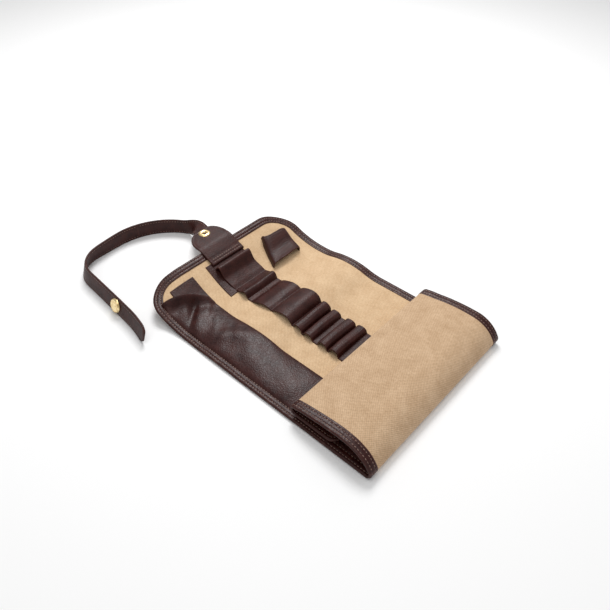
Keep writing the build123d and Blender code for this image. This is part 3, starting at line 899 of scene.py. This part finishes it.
# The accessory loop: its length as leather, where it starts along the wrap, how much further its
# +Y foot starts, where it ends, and then its middle, half-width and height at its start and end
ACCESSORY_LENGTH = 36.0
ACCESSORY_START = 22.8
ACCESSORY_SKEW = 9.0
ACCESSORY_END = 61.5
ACCESSORY_MIDDLES = (64.5, 54.0)
ACCESSORY_HALVES = (15.5, 21.0)
ACCESSORY_HEIGHTS = (9.6, 7.4)


def build_accessory_loop():
    """The wide leather tunnel by the +Y edge, standing open at both ends.

    Along it goes a share from 0 to 1, and over it an angle from its -Y foot to its +Y foot.
    """
    share = edged(0, ACCESSORY_LENGTH, coarse=2.2) / ACCESSORY_LENGTH
    angles = np.linspace(0, pi, 45)
    turn = (angles / pi)[None, :]
    start = ACCESSORY_START + ACCESSORY_SKEW * turn
    s = start * (1 - share[:, None]) + ACCESSORY_END * share[:, None]
    middle = np.interp(share, (0, 1), ACCESSORY_MIDDLES)[:, None]
    half = np.interp(share, (0, 1), ACCESSORY_HALVES)[:, None]
    height = np.interp(share, (0, 1), ACCESSORY_HEIGHTS)[:, None]
    side = (-np.sign(np.cos(angles)) * np.abs(np.cos(angles)) ** 0.3)[None, :]
    up = (np.abs(np.sin(angles)) ** 0.4)[None, :]
    near = np.minimum(share, 1 - share) * ACCESSORY_LENGTH
    drop = rounding(near, 0.5, 1.9, 0.1)[:, None]
    foot_lift = 2.6 * smooth((0.34 - share) / 0.3)[:, None] * smooth((0.9 - angles) / 0.9)[None, :]
    bow = 0.45 * np.sin(9.0 * share)[:, None] * up**2
    grids = []
    for inset in (0.0, LEATHER):
        y = middle + (half - inset) * side
        fall = drop if inset == 0 else inset
        depth = STRIP_FOOT + np.maximum(height - fall, 0) * up + foot_lift + bow
        grids.append(surface(s, y, depth))
    uv = np.stack(np.broadcast_arrays(s, (angles * 14.0)[None, :]), axis=-1)
    piece = solid_sheet("accessory_loop_leather", grids[0], grids[1], uv, leather)
    finish_leather(piece, ["accessory_loop"])
    parts = []
    stitch_line((42, 43.0), (60, 33.0), STRIP_FOOT + 0.5, parts)
    finish_stitches("accessory_stitches", parts, dark_thread)


build_accessory_loop()


TAG_START, TAG_LENGTH = 9.5, 11.5
TAG_LOW, TAG_WIDTH = 44.0, 22.0


def build_side_tag():
    """A plain red woven tag on the flap's outer face."""
    lengths = np.linspace(TAG_START, TAG_START + TAG_LENGTH, 14)
    s, y = np.meshgrid(lengths, np.linspace(TAG_LOW, TAG_LOW + TAG_WIDTH, 26), indexing="ij")
    ripple = 0.08 * np.sin(0.9 * y) + 0.25 * smooth((s - 17) / 4)
    upper = surface(s, y, 0.38)
    lower = surface(s, y, -0.25 - ripple)
    piece = solid_sheet("side_tag_ribbon", upper, lower, np.stack([s, y], axis=-1), tag_red)
    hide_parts("side_tag")
    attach(piece, "flap")


build_side_tag()


# ---------------------------------------------------------------- closure tab and strap
CREASE_SOFTNESS = 1.2
TAB_STITCH_INSETS = (2.3, 5.2)
TAB_STITCH_MARGIN = 2.5


def tab_top_at(x):
    """The height of the tab's upper face: level beyond its crease, and down along the flap."""
    past = np.clip((x - TAB_CREASE_X) / CREASE_SOFTNESS, -40, 40)
    eased = np.log1p(np.exp(past)) * CREASE_SOFTNESS
    return TAB_TOP - eased * np.tan(radians(CURL))


def build_tab():
    """The closure tab, sewn to the flap and rounded at its outer end."""
    along = TAB_ROOT_X - edged(0, TAB_ROOT_X - TAB_END_X, coarse=1.6)
    into_end = np.clip((TAB_NARROWS_X - along) / (TAB_NARROWS_X - TAB_END_X), 0, 1)
    narrowed = 1 - np.sqrt(np.maximum(1 - into_end**2.2, 0))
    low = TAB_LOW + 1.5 * into_end + 17.0 * narrowed
    high = TAB_HIGH - 12.0 * narrowed
    v = edged(0, TAB_HIGH - TAB_LOW, coarse=2.4) / (TAB_HIGH - TAB_LOW)
    y = low[:, None] + (high - low)[:, None] * v[None, :]
    x = np.repeat(along[:, None], len(v), 1)
    near_side = np.minimum(v, 1 - v)[None, :] * (high - low)[:, None]
    near_end = np.minimum(TAB_ROOT_X - along, along - TAB_END_X)[:, None]
    near = np.minimum(near_side, np.broadcast_to(near_end, x.shape))
    drop = rounding(near, 0.9, 2.6, 0.25)
    sag = 0.5 * np.sin(0.07 * (y - 3)) * smooth((-225 - x) / 15)
    top = tab_top_at(x) + sag * 0.4
    root_press = 0.35 * ridge(x - TAB_ROOT_X + 6.5, 0.7)
    upper = np.stack([x, y, top - drop - root_press], axis=-1)
    lower = np.stack([x, y, top - TAB_THICKNESS + np.minimum(drop, 0.8) * 0.6], axis=-1)
    piece = solid_sheet("closure_tab_leather", upper, lower, np.stack([x, y], axis=-1), leather)
    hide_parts("tab_root", "closure_tab")
    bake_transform(piece)
    parts = []
    for inset in TAB_STITCH_INSETS:
        y = np.linspace(TAB_LOW + TAB_STITCH_MARGIN, TAB_HIGH - TAB_STITCH_MARGIN, 30)
        x = np.full_like(y, TAB_ROOT_X - inset)
        points = np.stack([x, y, tab_top_at(x) - 0.05], axis=-1)
        stitch_row(points, np.tile([0.35, 0.0, 1.0], (len(y), 1)), parts)
    stitches = stitch_object("tab_stitches", parts, thread)
    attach(stitches, "flap")


# Lengths along the strap's route: where it starts to lean, and how far on it leans fully
LEAN_START, LEAN_RUN = 70.0, 75.0
# Length along the whole strap at which its root ends and its length begins
STRAP_SPLIT = 100.0


def strap_line():
    """The strap's centre line: points, and how far it is turned onto its edge, in degrees.

    It leaves the tab flat, twists onto its edge as it drops, and leans more toward its end.
    """
    # Each station: X, Y, Z and turn
    twist = [
        (-265.0, 7.6, 24.05, 0),
        (-270.5, 8.6, 23.9, -6),
        (-277.0, 10.2, 22.4, -20),
        (-284.5, 12.6, 18.6, -46),
        (-293.0, 14.6, 13.2, -70),
    ]
    s = np.linspace(0, route.length, 64)
    x, y, heading = route.at(s)
    lean = STRAP_LEAN * smooth((s - LEAN_START) / LEAN_RUN)
    inward = STRAP_WIDTH / 2 * np.sin(np.radians(lean))
    rise = STRAP_WIDTH / 2 * np.cos(np.radians(lean)) + 0.6 * np.sin(np.radians(lean))
    x = x - np.sin(heading) * inward
    y = y + np.cos(heading) * inward
    run = np.stack([x, y, rise, -90 - lean], axis=1)
    line = np.concatenate([np.array(twist, float), run])
    along = length_along(line[:, :3])
    even = np.linspace(0, along[-1], 190)
    line = np.stack([np.interp(even, along, line[:, k]) for k in range(4)], axis=1)
    soften(line, 14)
    return line


def strap_section():
    """Places across the strap and half its thickness at each, thinner toward its cut edges."""
    half = STRAP_WIDTH / 2
    places = edged(-half, half, coarse=3.4)
    near = half - np.abs(places)
    thick = STRAP_THICKNESS / 2 - rounding(near, 1.0, STRAP_STITCH_INSET, 0.2)
    return places, np.maximum(thick, 0.12)


def strap_frames(line):
    """The way across the strap's width and the way out of its face, along its centre line."""
    ahead = unit(np.gradient(line[:, :3], axis=0))
    level = unit(np.cross(np.array([0.0, 0.0, 1.0]), ahead))
    upward = np.cross(ahead, level)
    roll = np.radians(line[:, 3])[:, None]
    width = level * np.cos(roll) + upward * np.sin(roll)
    return width, np.cross(ahead, width)


def strap_rings(line, width, face, along):
    """Rings of points round the strap, drawn in toward its round tip, and their flat-map places."""
    places, thick = strap_section()
    into_tip = np.clip(1 - (along[-1] - along) / STRAP_TIP_RADIUS, 0, 1)
    tip = np.maximum(np.sqrt(1 - into_tip**2), 0.08)
    ring_places = np.concatenate([places, places[-2:0:-1]])
    ring_thick = np.concatenate([thick, -thick[-2:0:-1]])
    rings = (
        line[:, None, :3]
        + width[:, None, :] * (ring_places[None, :] * tip[:, None])[..., None]
        + face[:, None, :] * (ring_thick[None, :] * np.clip(tip * 1.3, 0, 1)[:, None])[..., None]
    )
    rings[..., 2] = np.maximum(rings[..., 2], 0.02)
    uv = np.stack(np.broadcast_arrays(along[:, None], ring_places[None, :]), axis=-1)
    return rings, uv


def strap_stitches(line, width, face, first, last):
    """Stitch rows near both edges and on both faces of a stretch of the strap."""
    low = max(first, 4)
    high = min(last, len(line) - 9)
    off_face = 1.02
    parts = []
    for side in (-1, 1):
        row = side * (STRAP_WIDTH / 2 - STRAP_STITCH_INSET)
        for way in (1, -1):
            points = line[low:high, :3] + width[low:high] * row + face[low:high] * way * off_face
            stitch_row(points, face[low:high] * way, parts)
    return parts


def build_strap():
    """The strap in two stretches: its root, from tab to run, and its length, across the bend."""
    line = strap_line()
    width, face = strap_frames(line)
    along = length_along(line[:, :3])
    rings, uv = strap_rings(line, width, face, along)
    split_at = int(np.argmin(np.abs(along - STRAP_SPLIT)))
    root = Vector(STRAP_ROOT)
    bend_at = int(np.argmin(np.hypot(line[:, 0] - STRAP_BEND[0], line[:, 1] - STRAP_BEND[1])))
    middle = Vector([float(c) for c in line[bend_at, :3]])
    ahead = Vector([float(c) for c in unit(line[bend_at + 3, :3] - line[bend_at - 3, :3])])
    reach = ahead * STRAP_BEND_REACH
    # Each stretch: its name, first and last rings, two bodies, where its bend starts and ends
    stretches = [
        ("strap_root", 0, split_at, "tab", "strap_run", root, root - Vector((STRAP_ROOT_REACH, 0, 0))),
        ("strap_length", split_at, len(line) - 1, "strap_run", "strap_end", middle - reach, middle + reach),
    ]
    for name, first, last, before, after, start, end in stretches:
        part = slice(first, last + 1)
        piece = sweep(f"{name}_leather", rings[part], uv[part], leather, sharp=50)
        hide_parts(after)
        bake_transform(piece)
        parts = strap_stitches(line, width, face, first, last)
        stitches = stitch_object(f"{name}_stitches", parts, thread)
        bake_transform(stitches)


build_tab()
build_strap()


# ---------------------------------------------------------------- brass hardware
for name in ("snap_post", "snap_stud", "snap_cap", "snap_socket"):
    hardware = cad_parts[name]
    hardware.data.materials.clear()
    hardware.data.materials.append(brass)


# ---------------------------------------------------------------- floor, light and camera
# In metres. The lights turn to a point in the middle of the case
FLOOR_SIZE = 12.0
FLOOR_DROP = 0.0003
LIT_POINT = (-0.12, 0.0, 0.0)
KEY_PLACE, KEY_SIZE, KEY_POWER = (-0.62, 0.5, 0.95), 0.5, 9.6
TOP_PLACE, TOP_SIZE, TOP_POWER = (0.1, -0.15, 1.3), 1.0, 3.6
CAMERA_PLACE = (0.180, -0.31636, 0.4244)
CAMERA_AZIMUTH = 42.15
CAMERA_TILT = 43.5
SENSOR_WIDTH = 36.0
FOCAL_LENGTH = 35.41


def build_floor():
    """A plain pale floor, just under the case."""
    bpy.ops.mesh.primitive_plane_add(size=FLOOR_SIZE, location=(0, 0, -FLOOR_DROP))
    floor = bpy.context.object
    floor.name = "floor"
    material = bpy.data.materials.new("floor")
    material.use_nodes = True
    shader = material.node_tree.nodes["Principled BSDF"]
    shader.inputs["Base Color"].default_value = (0.93, 0.93, 0.93, 1)
    shader.inputs["Roughness"].default_value = 0.6
    shader.inputs["Specular IOR Level"].default_value = 0.2
    floor.data.materials.append(material)


def add_area(name, place, size, power):
    """A round area light at a place, turned to the case."""
    light = bpy.data.lights.new(name, "AREA")
    light.shape = "DISK"
    light.size = size
    light.energy = power
    lamp = bpy.data.objects.new(name, light)
    bpy.context.scene.collection.objects.link(lamp)
    lamp.location = place
    lamp.rotation_euler = (Vector(LIT_POINT) - Vector(place)).to_track_quat("-Z", "Y").to_euler()


def build_light():
    """An even white surround, a key light from behind the strap end, and a soft one above."""
    world = bpy.data.worlds.new("studio")
    bpy.context.scene.world = world
    world.use_nodes = True
    background = world.node_tree.nodes["Background"]
    background.inputs["Color"].default_value = (1, 1, 1, 1)
    background.inputs["Strength"].default_value = 0.5
    add_area("key", KEY_PLACE, KEY_SIZE, KEY_POWER)
    add_area("top", TOP_PLACE, TOP_SIZE, TOP_POWER)
    bpy.context.scene.view_settings.view_transform = "Standard"


def build_camera():
    """The camera, placed as the photograph was taken."""
    camera_data = bpy.data.cameras.new("photo_camera")
    camera_data.sensor_width = SENSOR_WIDTH
    camera_data.lens = FOCAL_LENGTH
    camera_data.clip_start = 0.01
    camera = bpy.data.objects.new("photo_camera", camera_data)
    bpy.context.scene.collection.objects.link(camera)
    camera.location = CAMERA_PLACE
    azimuth, tilt = radians(CAMERA_AZIMUTH), radians(CAMERA_TILT)
    ahead = Vector((-sin(azimuth) * cos(tilt), cos(azimuth) * cos(tilt), -sin(tilt)))
    camera.rotation_euler = ahead.to_track_quat("-Z", "Y").to_euler()
    bpy.context.scene.camera = camera


build_floor()
build_light()
build_camera()
